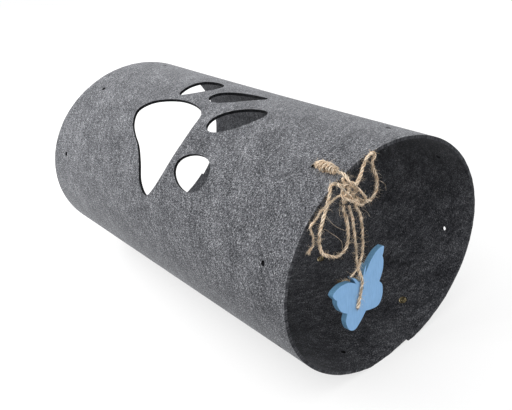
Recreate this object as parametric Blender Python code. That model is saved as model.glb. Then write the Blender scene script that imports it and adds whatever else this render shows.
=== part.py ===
"""Felt tunnel for a cat, with a wooden butterfly on jute twine hanging in its mouth.

Metres, +Z up. The tunnel's axis runs along Y and its mouth, where the butterfly hangs, faces -Y.
The origin is on the floor under the axis, midway between the two ends.

The tunnel is one sheet of felt. It is cut flat, with its paw print and its punched holes, and is
then rolled up until its two edges lap and four press studs hold them. A place on the flat sheet
is (arc, y, depth): the way round from the top, the way along, and the way in from the outside.
"""

import math

import bmesh
import bpy
import numpy as np
from mathutils import Matrix, Vector

# Tunnel, over the outer layer of felt
TUNNEL_WIDTH = 0.2871
TUNNEL_HEIGHT = 0.2537
TUNNEL_LENGTH = 0.500
TOP_SAG = 0.0015
PRESSED_FLAT = 0.0034
PRESS_EASE = 0.0008

# Sheet of felt, its lap and the run in which the inner layer drops to the floor
FELT = 0.0035
LAYER_GAP = 0.0004
LAP = 0.084
LAP_EDGE_FROM_BOTTOM = 0.025
DROP_RUN = 0.037
BENDS_ROUND = 104
BENDS_ALONG = 6

# Punched holes near both ends, spaced out from the one that the twine goes through
HOLE_RADIUS = 0.0025
HOLE_INSET = 0.035
HOLES_BESIDE = 3
HOLE_PITCH_LEFT = 0.1073
HOLE_PITCH_RIGHT = 0.1041
TWINE_HOLE_ARC = -0.0587

# Paw print, whose box is as wide as it is long
PAW_SIZE = 0.200
PAW_ARC = -0.063
PAW_INSET = 0.256
PAD_SHARES = [
    (0.375, 0.94), (0.465, 1.0), (0.555, 0.96), (0.62, 0.86), (0.66, 0.72), (0.65, 0.56),
    (0.595, 0.45), (0.495, 0.405), (0.355, 0.375), (0.19, 0.38), (0.065, 0.42), (0.0, 0.485),
    (0.055, 0.575), (0.16, 0.65), (0.25, 0.745), (0.31, 0.85),
]
# For each toe: place across and along, length, width, how much wider it is at its round end,
# and the way that end points
TOE_SHARES = [
    (0.846, 0.798, 0.301, 0.203, 0.45),
    (0.862, 0.426, 0.380, 0.173, 0.40),
    (0.654, 0.180, 0.365, 0.213, 0.11),
    (0.240, 0.158, 0.314, 0.218, 0.12),
]
TOE_TURNS = [math.radians(-10), math.radians(121), math.radians(135), math.radians(265)]

# Press studs: cap outside, socket and stud between the layers, post inside
STUD_COUNT = 4
STUD_INSET = 0.039
STUD_SEAT = 0.0019
SEAT_GAP = 0.0003
CAP_RADIUS = 0.00625
CAP_DOME = 0.0013
PLATE = 0.0005
SHANK_RADIUS = 0.0018
SHANK_FIT = 0.0004
SOCKET_RADIUS = 0.0050
SOCKET_LIP_RADIUS = 0.0029
SOCKET_HEIGHT = 0.0026
STUD_RADIUS = 0.0047
BULB_RADIUS = 0.0025
BULB_NECK_RADIUS = 0.0022
BULB_HEIGHT = 0.0019
RIVET_RADIUS = 0.0013
POST_RADIUS = 0.0048
POST_BEAD = 0.0007

# Twine
TWINE_RADIUS = 0.0015
WRAP_TWINE_RADIUS = 0.0012
TAIL_RADIUS = 0.0010
TIE_RADIUS = 0.0017
SLING_RADIUS = 0.0011
TWINE_STEP = 0.0032
SLING_STEP = 0.0015

# Knot of the bow, just in front of the rim, and the turns of twine round its tie
KNOT_PLACE = Vector((-0.0615, -0.0125, 0.1042))
KNOT_RADIUS = 0.0073
KNOT_WAIST = 0.0030
KNOT_OPENING = math.radians(9)
WRAP_TURNS = 6
WRAP_THIN_RADIUS = 0.0031
WRAP_THICK_RADIUS = 0.0043

# Butterfly
BUTTERFLY_SPAN = 0.086
BUTTERFLY_THICKNESS = 0.0060
BUTTERFLY_EDGE = 0.0004
BUTTERFLY_HOLE_RADIUS = 0.0020
BUTTERFLY_PLACE = Vector((0.0077, 0.0, -0.1090))
BUTTERFLY_YAW = math.radians(8)
BUTTERFLY_LEAN = math.radians(-7)
HANG_PLACE = Vector((0.0024, -0.0020, -0.0776))

OVERRUN = 0.002
STUD_SIDES = 20
HOLE_SIDES = 12
TWINE_BEVEL_STEPS = 2
WOUND_BEVEL_STEPS = 1
SMOOTH_STEPS = 5
OUTLINE_STEPS = 4
TOE_SIDES = 30

# Shape of the section: the places round it, found once from many short steps
HALF_WIDTH = TUNNEL_WIDTH / 2
HALF_HEIGHT = TUNNEL_HEIGHT / 2
AXIS_HEIGHT = HALF_HEIGHT - PRESSED_FLAT
FRONT = -TUNNEL_LENGTH / 2
ANGLES = np.linspace(-math.pi, math.pi, 4001)
ROUND = np.stack([HALF_WIDTH * np.sin(ANGLES), HALF_HEIGHT * np.cos(ANGLES)], axis=1)
RUNS = np.concatenate([[0], np.cumsum(np.linalg.norm(np.diff(ROUND, axis=0), axis=1))])
PERIMETER = float(RUNS[-1])
ARCS = RUNS - PERIMETER / 2
OUTER_EDGE = PERIMETER / 2 - LAP_EDGE_FROM_BOTTOM
INNER_EDGE = OUTER_EDGE - LAP - PERIMETER
STUD_ARC = OUTER_EDGE - LAP / 2
KNOT = Vector((0, FRONT, AXIS_HEIGHT)) + KNOT_PLACE


def section_place(arc):
    """Place in the section, on the felt's outside, this far round from the top."""
    wrapped = (arc + PERIMETER / 2) % PERIMETER - PERIMETER / 2
    angle = float(np.interp(wrapped, ARCS, ANGLES))
    above = HALF_HEIGHT * (1 + math.cos(angle)) - PRESSED_FLAT
    height = above * (1 - math.exp(-above / PRESS_EASE)) if above > 0 else 0.0
    return Vector((HALF_WIDTH * math.sin(angle), 0, height)), max(0.0, math.cos(angle))


def tucked(arc):
    """How far in from the outer layer the sheet lies under its own lap."""
    past = (arc - OUTER_EDGE + PERIMETER) / DROP_RUN
    share = min(max(past, 0.0), 1.0)
    return (FELT + LAYER_GAP) * (1 - share * share * (3 - 2 * share))


def rolled(arc, along, depth):
    """Place on the rolled sheet, and the way out of it, for a place on the flat one."""
    near = 0.1 * FELT
    place, top = section_place(arc)
    before = section_place(arc - near)[0]
    after = section_place(arc + near)[0]
    outward = Vector((0, -1, 0)).cross(after - before).normalized()
    sag = TOP_SAG * top * math.sin(math.pi * along / TUNNEL_LENGTH)
    place = place - outward * (tucked(arc) + depth) + Vector((0, FRONT + along, -sag))
    return place, outward


def clear_scene():
    for old in list(bpy.data.objects):
        bpy.data.objects.remove(old, do_unlink=True)


def material(name, colour, roughness, metallic=0.0):
    made = bpy.data.materials.new(name)
    made.use_nodes = True
    shader = made.node_tree.nodes["Principled BSDF"]
    shader.inputs["Base Color"].default_value = (*colour, 1)
    shader.inputs["Roughness"].default_value = roughness
    shader.inputs["Metallic"].default_value = metallic
    return made


def add_object(name, data, finish=None, parent=None):
    """A new object, whose place in the world stays as it is when it gets a parent."""
    made = bpy.data.objects.new(name, data)
    bpy.context.scene.collection.objects.link(made)
    if finish is not None:
        data.materials.append(finish)
    if parent is not None:
        made.parent = parent
        made.matrix_parent_inverse = Matrix.Translation(parent.location).inverted()
    return made


def add_axis(name, place, parent=None):
    """An empty on a joint's axis."""
    made = add_object(name, None, None, parent)
    made.location = place if parent is None else Vector(place)
    made.empty_display_size = KNOT_RADIUS
    return made


def mesh_from(name, worker):
    """The finished mesh of a bmesh, with its faces pointing out."""
    bmesh.ops.recalc_face_normals(worker, faces=worker.faces[:])
    made = bpy.data.meshes.new(name)
    worker.to_mesh(made)
    worker.free()
    return made


def shade_round(made, sharp_above=math.radians(35)):
    made.shade_smooth()
    made.set_sharp_from_angle(angle=sharp_above)


def curve_through(points, closed=False, steps=SMOOTH_STEPS):
    """A smooth line through the points, with this many steps from each to the next."""
    knots = [Vector(p) for p in points]
    if closed:
        knots = [knots[-1], *knots, knots[0], knots[1]]
    else:
        knots = [knots[0] * 2 - knots[1], *knots, knots[-1] * 2 - knots[-2]]
    line = []
    for a, b, c, d in zip(knots, knots[1:], knots[2:], knots[3:]):
        for step in range(steps):
            t = step / steps
            line.append(
                (b * 2 + (c - a) * t + (a * 2 - b * 5 + c * 4 - d) * t * t
                 + (b * 3 - a - c * 3 + d) * t * t * t) / 2
            )
    if not closed:
        line.append(knots[-2])
    return line


def spaced(line, step):
    """The same line with its points at even distances of about this step."""
    places = np.array([tuple(p) for p in line])
    run = np.concatenate([[0], np.cumsum(np.linalg.norm(np.diff(places, axis=0), axis=1))])
    marks = np.linspace(0, run[-1], max(2, round(run[-1] / step)) + 1)
    return [Vector([float(np.interp(m, run, places[:, k])) for k in range(3)]) for m in marks]


def prism(worker, outline, low, high):
    """A straight-sided solid on a flat outline of (x, y) places, from one height to another."""
    ring = [worker.verts.new((x, y, low)) for x, y in outline]
    base = worker.faces.new(ring)
    grown = bmesh.ops.extrude_face_region(worker, geom=[base])
    raised = [item for item in grown["geom"] if isinstance(item, bmesh.types.BMVert)]
    bmesh.ops.translate(worker, verts=raised, vec=(0, 0, high - low))


def turned(name, profile, closed=True):
    """A turned piece, from a profile of (radius, height) places. An open one ends on the axis."""
    worker = bmesh.new()
    points = [worker.verts.new((radius, 0, height)) for radius, height in profile]
    pairs = list(zip(points, points[1:]))
    if closed:
        pairs.append((points[-1], points[0]))
    edges = [worker.edges.new(pair) for pair in pairs]
    bmesh.ops.spin(
        worker, geom=points + edges, cent=(0, 0, 0), axis=(0, 0, 1),
        angle=2 * math.pi, steps=STUD_SIDES,
    )
    bmesh.ops.remove_doubles(worker, verts=worker.verts[:], dist=SEAT_GAP / 100)
    made = mesh_from(name, worker)
    shade_round(made)
    return made


def tube(name, line, radius, finish, parent=None, bevel_steps=TWINE_BEVEL_STEPS):
    """Twine along a line of places."""
    data = bpy.data.curves.new(name, "CURVE")
    data.dimensions = "3D"
    data.bevel_depth = radius
    data.bevel_resolution = bevel_steps
    data.use_fill_caps = True
    spline = data.splines.new("POLY")
    spline.points.add(len(line) - 1)
    for point, place in zip(spline.points, line):
        point.co = (*place, 1)
    return add_object(name, data, finish, parent)


def twine(name, route, radius, finish, parent=None, step=TWINE_STEP):
    """A free stretch of twine, smooth through the places of its route."""
    return tube(name, spaced(curve_through(route), step), radius, finish, parent)


def round_outline(arc, along, radius, sides=HOLE_SIDES):
    turns = [2 * math.pi * k / sides for k in range(sides)]
    return [(arc + radius * math.cos(a), along + radius * math.sin(a)) for a in turns]


# The sheet, cut flat and rolled


def paw_place(across, along):
    """Place on the flat sheet of a share of the paw print's box."""
    return (PAW_ARC + (across - 0.5) * PAW_SIZE, PAW_INSET + (along - 0.5) * PAW_SIZE)


def pad_outline():
    corners = [(*paw_place(*share), 0) for share in PAD_SHARES]
    return [(p.x, p.y) for p in curve_through(corners, True, OUTLINE_STEPS)]


def toe_outline(shares, turn):
    """An egg: an ellipse that narrows towards one end."""
    across, along, length, width, narrowing = shares
    centre = paw_place(across, along)
    outline = []
    for k in range(TOE_SIDES):
        angle = 2 * math.pi * k / TOE_SIDES
        u = PAW_SIZE * length / 2 * math.cos(angle)
        v = PAW_SIZE * width / 2 * math.sin(angle) * (1 + narrowing * math.cos(angle))
        outline.append((
            centre[0] + u * math.cos(turn) - v * math.sin(turn),
            centre[1] + u * math.sin(turn) + v * math.cos(turn),
        ))
    return outline


def hole_arcs():
    """The punched holes' places round the sheet. None is punched where the layers lap."""
    beside = range(1, HOLES_BESIDE + 1)
    left = [TWINE_HOLE_ARC - k * HOLE_PITCH_LEFT for k in beside]
    right = [TWINE_HOLE_ARC + k * HOLE_PITCH_RIGHT for k in beside]
    return [*reversed(left), TWINE_HOLE_ARC, *right]


def stud_insets():
    step = (TUNNEL_LENGTH - 2 * STUD_INSET) / (STUD_COUNT - 1)
    return [STUD_INSET + k * step for k in range(STUD_COUNT)]


def cut_seat(worker, arc, along, seat_at_inside):
    """A hole for a stud's shank, with a wide seat pressed into the side where the layers meet."""
    seat = round_outline(arc, along, SOCKET_RADIUS + 2 * SHANK_FIT, STUD_SIDES)
    hole = round_outline(arc, along, SHANK_RADIUS + SHANK_FIT)
    if seat_at_inside:
        prism(worker, seat, -FELT - OVERRUN, STUD_SEAT - FELT)
        prism(worker, hole, STUD_SEAT / 2 - FELT, OVERRUN)
    else:
        prism(worker, seat, -STUD_SEAT, OVERRUN)
        prism(worker, hole, -FELT - OVERRUN, -STUD_SEAT / 2)


def sheet_cutter():
    """All that is cut from the flat sheet."""
    worker = bmesh.new()
    prism(worker, pad_outline(), -FELT - OVERRUN, OVERRUN)
    for shares, turn in zip(TOE_SHARES, TOE_TURNS):
        prism(worker, toe_outline(shares, turn), -FELT - OVERRUN, OVERRUN)
    for inset in (HOLE_INSET, TUNNEL_LENGTH - HOLE_INSET):
        for arc in hole_arcs():
            prism(worker, round_outline(arc, inset, HOLE_RADIUS), -FELT - OVERRUN, OVERRUN)
    for along in stud_insets():
        cut_seat(worker, STUD_ARC, along, seat_at_inside=True)
        cut_seat(worker, STUD_ARC - PERIMETER, along, seat_at_inside=False)
    return mesh_from("cutter", worker)


def flat_blank():
    """The uncut sheet, scored across wherever it will bend."""
    worker = bmesh.new()
    corners = [
        (INNER_EDGE, 0), (OUTER_EDGE, 0), (OUTER_EDGE, TUNNEL_LENGTH), (INNER_EDGE, TUNNEL_LENGTH),
    ]
    prism(worker, corners, -FELT, 0)
    bend = PERIMETER / BENDS_ROUND
    scores = [((OUTER_EDGE - k * bend, 0, 0), (1, 0, 0)) for k in range(1, 2 * BENDS_ROUND)]
    row = TUNNEL_LENGTH / BENDS_ALONG
    scores += [((0, k * row, 0), (0, 1, 0)) for k in range(1, BENDS_ALONG)]
    for place, across in scores:
        if place[0] > INNER_EDGE:
            parts = worker.verts[:] + worker.edges[:] + worker.faces[:]
            bmesh.ops.bisect_plane(worker, geom=parts, plane_co=place, plane_no=across)
    return mesh_from("flat_blank", worker)


def cut_away(blank, cutter):
    """The blank's mesh less the cutter's."""
    body = add_object("blank", blank)
    tool = add_object("tool", cutter)
    cut = body.modifiers.new("Cut", "BOOLEAN")
    cut.operation = "DIFFERENCE"
    cut.solver = "EXACT"
    cut.use_self = True
    cut.object = tool
    depsgraph = bpy.context.evaluated_depsgraph_get()
    made = bpy.data.meshes.new_from_object(body.evaluated_get(depsgraph))
    bpy.data.objects.remove(body)
    bpy.data.objects.remove(tool)
    made.materials.clear()
    return made


def felt_sheet(finish):
    worker = bmesh.new()
    worker.from_mesh(cut_away(flat_blank(), sheet_cutter()))
    bmesh.ops.triangulate(worker, faces=worker.faces[:])
    for vert in worker.verts:
        vert.co = rolled(vert.co.x, vert.co.y, -vert.co.z)[0]
    made = mesh_from("felt_sheet", worker)
    shade_round(made)
    return add_object("felt_sheet", made, finish)


# Press studs. Heights are above the outside of the felt, so they are below zero inside it


def stud_meshes():
    socket_top = -FELT + STUD_SEAT - SEAT_GAP
    stud_floor = -FELT - LAYER_GAP - STUD_SEAT + SEAT_GAP
    inner_face = -2 * FELT - LAYER_GAP
    socket_plate = socket_top - PLATE
    stud_plate = stud_floor + PLATE
    bore = SHANK_RADIUS + SEAT_GAP
    cap = turned("snap_cap", [
        (0, socket_plate - PLATE / 2),
        (SHANK_RADIUS, socket_plate - PLATE / 2),
        (SHANK_RADIUS, SEAT_GAP),
        (CAP_RADIUS, SEAT_GAP),
        (CAP_RADIUS, SEAT_GAP + PLATE),
        (0.85 * CAP_RADIUS, SEAT_GAP + 0.7 * CAP_DOME),
        (0.5 * CAP_RADIUS, SEAT_GAP + 0.95 * CAP_DOME),
        (0, SEAT_GAP + CAP_DOME),
    ], closed=False)
    socket = turned("snap_socket", [
        (bore, socket_top),
        (SOCKET_RADIUS, socket_top),
        (SOCKET_RADIUS, socket_top - SOCKET_HEIGHT),
        (SOCKET_LIP_RADIUS + PLATE, socket_top - SOCKET_HEIGHT),
        (SOCKET_LIP_RADIUS, socket_top - SOCKET_HEIGHT + PLATE),
        (SOCKET_LIP_RADIUS + PLATE / 2, socket_plate),
        (bore, socket_plate),
    ])
    stud = turned("snap_stud", [
        (RIVET_RADIUS + SEAT_GAP, stud_floor),
        (STUD_RADIUS, stud_floor),
        (STUD_RADIUS, stud_plate),
        (BULB_NECK_RADIUS, stud_plate),
        (BULB_RADIUS, stud_plate + 0.7 * BULB_HEIGHT),
        (BULB_NECK_RADIUS, stud_plate + BULB_HEIGHT),
        (RIVET_RADIUS + SEAT_GAP, stud_plate + BULB_HEIGHT),
    ])
    seat = inner_face - 2 * SEAT_GAP
    post = turned("snap_post", [
        (0, stud_plate + BULB_HEIGHT / 2),
        (RIVET_RADIUS, stud_plate + BULB_HEIGHT / 2),
        (RIVET_RADIUS, seat),
        (POST_RADIUS, seat),
        (POST_RADIUS, seat - PLATE),
        (0.75 * POST_RADIUS, seat - PLATE - POST_BEAD),
        (0.5 * POST_RADIUS, seat - PLATE),
        (0.3 * POST_RADIUS, seat - PLATE - POST_BEAD),
        (0, seat - PLATE - POST_BEAD),
    ], closed=False)
    return [cap, socket, stud, post]


def press_studs(finish):
    for mesh in stud_meshes():
        mesh.materials.append(finish)
        for number, along in enumerate(stud_insets(), start=1):
            place, outward = rolled(STUD_ARC, along, 0)
            round_way = Vector((0, 1, 0)).cross(outward)
            made = add_object(f"{mesh.name}_{number}", mesh)
            frame = Matrix((round_way, Vector((0, 1, 0)), outward)).transposed()
            made.matrix_world = Matrix.Translation(place) @ frame.to_4x4()


# Twine. Routes are from the middle of the knot: across, back towards the tunnel, and up

RIM_TIE = [
    (0.0002, 0.0015, 0.0122), (0.0003, 0.0020, 0.0143), (0.0008, 0.0055, 0.0163),
    (0.0016, 0.0105, 0.0164), (0.0023, 0.0170, 0.0164), (0.0022, 0.0290, 0.0170),
    (0.0020, 0.0410, 0.0176), (0.0025, 0.0457, 0.0162), (0.0034, 0.0474, 0.0138),
    (0.0041, 0.0475, 0.0121), (0.0054, 0.0475, 0.0088), (0.0064, 0.0465, 0.0063),
    (0.0068, 0.0430, 0.0050), (0.0067, 0.0340, 0.0047), (0.0065, 0.0220, 0.0045),
    (0.0063, 0.0120, 0.0042), (0.0063, 0.0049, 0.0040),
]
WRAPPED_STRETCH = [(0.0023, 0.0185, 0.0164), (0.0020, 0.0395, 0.0176)]
LEFT_LOOP = [
    (-0.0064, 0.0020, 0.0095), (-0.0108, 0.0045, 0.0121), (-0.0148, 0.0060, 0.0138),
    (-0.0182, 0.0060, 0.0107), (-0.0197, 0.0050, 0.0056), (-0.0259, 0.0035, -0.0034),
    (-0.0330, 0.0025, -0.0143), (-0.0383, 0.0020, -0.0241), (-0.0404, 0.0020, -0.0377),
    (-0.0388, 0.0020, -0.0449), (-0.0342, 0.0020, -0.0504), (-0.0229, 0.0020, -0.0581),
    (-0.0125, 0.0020, -0.0580), (-0.0060, 0.0020, -0.0515), (-0.0036, 0.0020, -0.0410),
    (-0.0052, 0.0020, -0.0242), (-0.0074, 0.0020, -0.0135), (-0.0078, 0.0015, -0.0097),
]
RIGHT_LOOP = [
    (0.0096, 0.0025, 0.0035), (0.0135, 0.0027, 0.0053), (0.0198, 0.0045, 0.0100),
    (0.0261, 0.0075, 0.0148), (0.0341, 0.0090, 0.0200), (0.0415, 0.0093, 0.0222),
    (0.0440, 0.0093, 0.0188), (0.0400, 0.0091, 0.0130), (0.0414, 0.0089, 0.0044),
    (0.0438, 0.0085, -0.0027), (0.0431, 0.0075, -0.0107), (0.0378, 0.0055, -0.0183),
    (0.0294, 0.0035, -0.0201), (0.0190, 0.0020, -0.0172), (0.0135, 0.0018, -0.0126),
    (0.0075, 0.0008, -0.0076),
]
TAIL = [
    (-0.0077, 0.0025, 0.0005), (-0.0114, 0.0042, -0.0004), (-0.0157, 0.0065, -0.0030),
    (-0.0287, 0.0090, -0.0092), (-0.0337, 0.0095, -0.0143), (-0.0424, 0.0095, -0.0197),
    (-0.0402, 0.0095, -0.0312), (-0.0422, 0.0095, -0.0398), (-0.0457, 0.0095, -0.0424),
]
LEFT_STRAND = [
    (-0.0035, -0.0020, -0.0104), (-0.0034, -0.0020, -0.0134), (-0.0012, -0.0020, -0.0240),
    (0.0002, -0.0020, -0.0400), (0.0010, -0.0020, -0.0560), (0.0009, -0.0020, -0.0700),
    (0.0007, -0.0020, -0.0774),
]
RIGHT_STRAND = [
    (0.0036, -0.0020, -0.0105), (0.0042, -0.0020, -0.0135), (0.0085, -0.0020, -0.0240),
    (0.0105, -0.0020, -0.0340), (0.0106, -0.0020, -0.0460), (0.0103, -0.0020, -0.0580),
    (0.0082, -0.0020, -0.0690), (0.0050, -0.0020, -0.0750), (0.0043, -0.0020, -0.0774),
]
TIE_ON_FACE = [
    (0.0024, -0.0020, -0.0778), (0.0024, -0.0020, -0.0820), (0.0034, -0.0021, -0.0880),
    (0.0056, -0.0023, -0.0975), (0.0038, -0.0026, -0.1053), (0.0009, -0.0030, -0.1120),
    (-0.0042, -0.0038, -0.1236),
]
# Through the butterfly's hole and over its head: how far behind its face, how far above the hole
SLING = [
    (0.0004, 0.0000), (0.0030, 0.0000), (0.0066, 0.0003), (0.0083, 0.0036), (0.0084, 0.0080),
    (0.0062, 0.0114), (0.0030, 0.0118), (0.0003, 0.0117),
]


def from_knot(route):
    return [KNOT + Vector(place) for place in route]


def knot_line():
    """An overhand knot: twice round its middle and three times in and out on the way."""
    line = []
    steps = 48
    start = 2 * math.pi / 3 + KNOT_OPENING
    for k in range(steps + 1):
        t = start + (2 * math.pi - 2 * KNOT_OPENING) * k / steps
        turn = 2 * t + math.pi / 2
        out = KNOT_RADIUS + KNOT_WAIST * math.cos(3 * t)
        back = KNOT_WAIST * math.sin(3 * t)
        line.append(KNOT + Vector((out * math.cos(turn), back, out * math.sin(turn))))
    return line


def wrap_line():
    """Turns of twine round the tie, drawn tighter towards the rim."""
    start, end = from_knot(WRAPPED_STRETCH)
    line = []
    steps = 24 * WRAP_TURNS
    for k in range(steps + 1):
        share = k / steps
        radius = WRAP_THIN_RADIUS + (WRAP_THICK_RADIUS - WRAP_THIN_RADIUS) * share
        turn = 2 * math.pi * WRAP_TURNS * share
        offset = Vector((radius * math.cos(turn), 0, radius * math.sin(turn)))
        line.append(start.lerp(end, share) + offset)
    return line


def least_gap(line, radius):
    """The least space between a wound tube and itself."""
    places = np.array([tuple(p) for p in line])
    run = np.concatenate([[0], np.cumsum(np.linalg.norm(np.diff(places, axis=0), axis=1))])
    apart = np.linalg.norm(places[:, None] - places[None], axis=2)
    far = np.abs(run[:, None] - run[None]) > 5 * radius
    return float(apart[far].min()) - 2 * radius


def report_gap(name, line, radius):
    print(f"{name}: least gap to itself {least_gap(line, radius) * 1000:.2f} mm")


# Butterfly, in its own plane with its drilled hole at the middle. Shares of half its span

HEAD_SHARES = [(0.0, 0.22), (0.07, 0.245)]
ANTENNA_SHARES = [(0.07, 0.245), (0.17, 0.43), (0.29, 0.525)]
ANTENNA_BACK_SHARES = [(0.29, 0.525), (0.225, 0.40), (0.19, 0.30)]
WING_FRONT_SHARES = [(0.19, 0.30), (0.40, 0.48), (0.68, 0.595), (0.92, 0.59), (1.0, 0.535)]
WING_TIP_SHARES = [(1.0, 0.535), (0.955, 0.42), (0.895, 0.335)]
WING_BACK_SHARES = [(0.895, 0.335), (0.905, 0.19), (0.825, -0.05), (0.645, -0.255)]
LOWER_WING_SHARES = [
    (0.645, -0.255), (0.735, -0.44), (0.675, -0.72), (0.475, -0.875), (0.21, -0.79), (0.0, -0.675),
]


def butterfly_outline():
    """The right half's runs, each smooth between two corners, and their mirror images."""
    runs = [
        HEAD_SHARES, ANTENNA_SHARES, ANTENNA_BACK_SHARES, WING_FRONT_SHARES,
        WING_TIP_SHARES, WING_BACK_SHARES, LOWER_WING_SHARES,
    ]
    right = []
    for shares in runs:
        half = BUTTERFLY_SPAN / 2
        places = [(x * half, y * half, 0) for x, y in shares]
        right += curve_through(places, steps=OUTLINE_STEPS)[:-1]
    foot = Vector((0, LOWER_WING_SHARES[-1][1] * BUTTERFLY_SPAN / 2, 0))
    left = [Vector((-p.x, p.y, 0)) for p in reversed(right[1:])]
    return [(p.x, p.y) for p in [*right, foot, *left]]


def butterfly_frame():
    """The butterfly's place in the world. Its own X is across, Y is up and Z is out of its face."""
    place = KNOT + BUTTERFLY_PLACE
    turn = Matrix.Rotation(BUTTERFLY_YAW, 4, "Z") @ Matrix.Rotation(BUTTERFLY_LEAN, 4, "Y")
    return Matrix.Translation(place) @ turn @ Matrix.Rotation(math.pi / 2, 4, "X")


def butterfly(finish, parent):
    worker = bmesh.new()
    prism(worker, butterfly_outline(), -BUTTERFLY_THICKNESS, 0)
    drill = bmesh.new()
    outline = round_outline(0, 0, BUTTERFLY_HOLE_RADIUS)
    prism(drill, outline, -BUTTERFLY_THICKNESS - OVERRUN, OVERRUN)
    plate = cut_away(mesh_from("butterfly", worker), mesh_from("drill", drill))
    made = add_object("butterfly", plate, finish, parent)
    made.matrix_world = butterfly_frame()
    edge = made.modifiers.new("Worn edge", "BEVEL")
    edge.width = BUTTERFLY_EDGE
    edge.segments = 1
    edge.limit_method = "ANGLE"
    edge.angle_limit = math.radians(60)
    return made


def sling_route():
    frame = butterfly_frame()
    return [frame @ Vector((0, up, -behind)) for behind, up in SLING]


def main():
    clear_scene()
    felt = material("felt", (0.157, 0.159, 0.168), 0.95)
    brass = material("antique_brass", (0.31, 0.21, 0.09), 0.38, 1.0)
    jute = material("jute", (0.60, 0.43, 0.26), 0.9)
    paint = material("blue_paint", (0.21, 0.37, 0.57), 0.55)

    bow = add_axis("bow_sway_axis", KNOT)
    pendant = add_axis("pendant_swing_axis", KNOT, bow)
    twist = add_axis("butterfly_twist_axis", KNOT + HANG_PLACE, pendant)

    felt_sheet(felt)
    press_studs(brass)
    butterfly(paint, twist)

    wraps = wrap_line()
    knot = knot_line()
    report_gap("tie_wraps", wraps, WRAP_TWINE_RADIUS)
    report_gap("bow_knot", knot, TWINE_RADIUS)
    twine("rim_tie", from_knot(RIM_TIE), TWINE_RADIUS, jute)
    tube("tie_wraps", wraps, WRAP_TWINE_RADIUS, jute, bevel_steps=WOUND_BEVEL_STEPS)
    tube("bow_knot", knot, TWINE_RADIUS, jute, bow, WOUND_BEVEL_STEPS)
    twine("bow_left_loop", from_knot(LEFT_LOOP), TWINE_RADIUS, jute, bow)
    twine("bow_right_loop", from_knot(RIGHT_LOOP), TWINE_RADIUS, jute, bow)
    twine("bow_tail", from_knot(TAIL), TAIL_RADIUS, jute, bow)
    twine("strand_left", from_knot(LEFT_STRAND), TWINE_RADIUS, jute, pendant)
    twine("strand_right", from_knot(RIGHT_STRAND), TWINE_RADIUS, jute, pendant)
    twine("butterfly_tie", from_knot(TIE_ON_FACE), TIE_RADIUS, jute, twist)
    twine("butterfly_sling", sling_route(), SLING_RADIUS, jute, twist, SLING_STEP)


main()
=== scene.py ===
# %% [markdown]
# # A felt tunnel for a cat, with a butterfly hung in its mouth
#
# The toy is one sheet of thick needled felt, light grey marl on one face and charcoal on the
# other, rolled up and closed with four press studs. A paw print is cut through its roof. A wooden
# butterfly hangs from a bow of natural jute twine that is tied through a punched hole at the rim.

# %% Load the frame
import math

import bmesh
import bpy
import numpy as np
from mathutils import Matrix, Vector


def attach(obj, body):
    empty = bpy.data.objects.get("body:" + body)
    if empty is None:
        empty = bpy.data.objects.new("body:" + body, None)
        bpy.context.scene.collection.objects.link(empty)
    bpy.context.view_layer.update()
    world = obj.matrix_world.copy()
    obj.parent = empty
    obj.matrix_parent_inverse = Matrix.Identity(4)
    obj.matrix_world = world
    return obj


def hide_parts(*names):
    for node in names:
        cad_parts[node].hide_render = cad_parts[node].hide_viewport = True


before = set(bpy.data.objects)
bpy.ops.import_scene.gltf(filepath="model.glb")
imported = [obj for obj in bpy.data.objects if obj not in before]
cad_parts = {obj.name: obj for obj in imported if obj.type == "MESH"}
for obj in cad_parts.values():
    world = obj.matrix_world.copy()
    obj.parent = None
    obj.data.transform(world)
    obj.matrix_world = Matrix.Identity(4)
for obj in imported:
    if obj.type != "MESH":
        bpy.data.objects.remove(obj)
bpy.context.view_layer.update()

MM = 0.001

# %% [markdown]
# ## Camera
#
# The photograph looks down into the mouth from the left, from about three quarters of a metre.
# The two rims, the row of punched holes and the floor line fix the lens and the place, so the
# camera is set by its place and its three directions.

# %% Camera
LENS, SENSOR = 49.602, 36
CAMERA_PLACE = Vector((-0.45817, -0.67489, 0.52241))
RIGHT = Vector((0.7711, -0.6247, -0.1239))
UP = Vector((0.3773, 0.2914, 0.8792))
AHEAD = Vector((0.5126, 0.7247, -0.4605))
camera_data = bpy.data.cameras.new("camera")
camera_data.lens = LENS
camera_data.sensor_width = SENSOR
camera = bpy.data.objects.new("camera", camera_data)
turn = Matrix((RIGHT, UP, -AHEAD)).transposed().to_quaternion().to_matrix().to_4x4()
camera.matrix_world = Matrix.Translation(CAMERA_PLACE) @ turn
bpy.context.scene.collection.objects.link(camera)
bpy.context.scene.camera = camera
print("Camera height:", round(camera.location.z, 3), "m")

# %% [markdown]
# ## Colours
#
# A colour that is picked on a screen is written as a hex value, but shaders work in linear light,
# where the same number looks far paler. So every colour here goes through one function.


# %% Colours
def linear(hex_colour):
    """Linear RGBA of a screen colour such as 6f7278."""
    parts = [int(hex_colour[k:k + 2], 16) / 255 for k in (0, 2, 4)]
    return (*[v / 12.92 if v <= 0.04045 else ((v + 0.055) / 1.055) ** 2.4 for v in parts], 1.0)


print("A mid grey of 6f7278 is", [round(v, 3) for v in linear("6f7278")[:3]], "in linear light")

# %% [markdown]
# ## Nodes
#
# A material could be built by hand in the shader editor. Here one function does the same: it adds
# a node of any kind with its settings, values and links, and every material is made with it.
# Patterns are placed in object coordinates, which are metres, so a noise of scale 1 / MM has one
# blotch a millimetre.


# %% Nodes
def wire(tree, node, values=None, links=None):
    """Sets a node's values and incoming links. A source is a socket, or a node for its first output."""
    for socket, value in (values or {}).items():
        node.inputs[socket].default_value = value
    for socket, source in (links or {}).items():
        tree.links.new(getattr(source, "outputs", [source])[0], node.inputs[socket])
    return node


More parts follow.
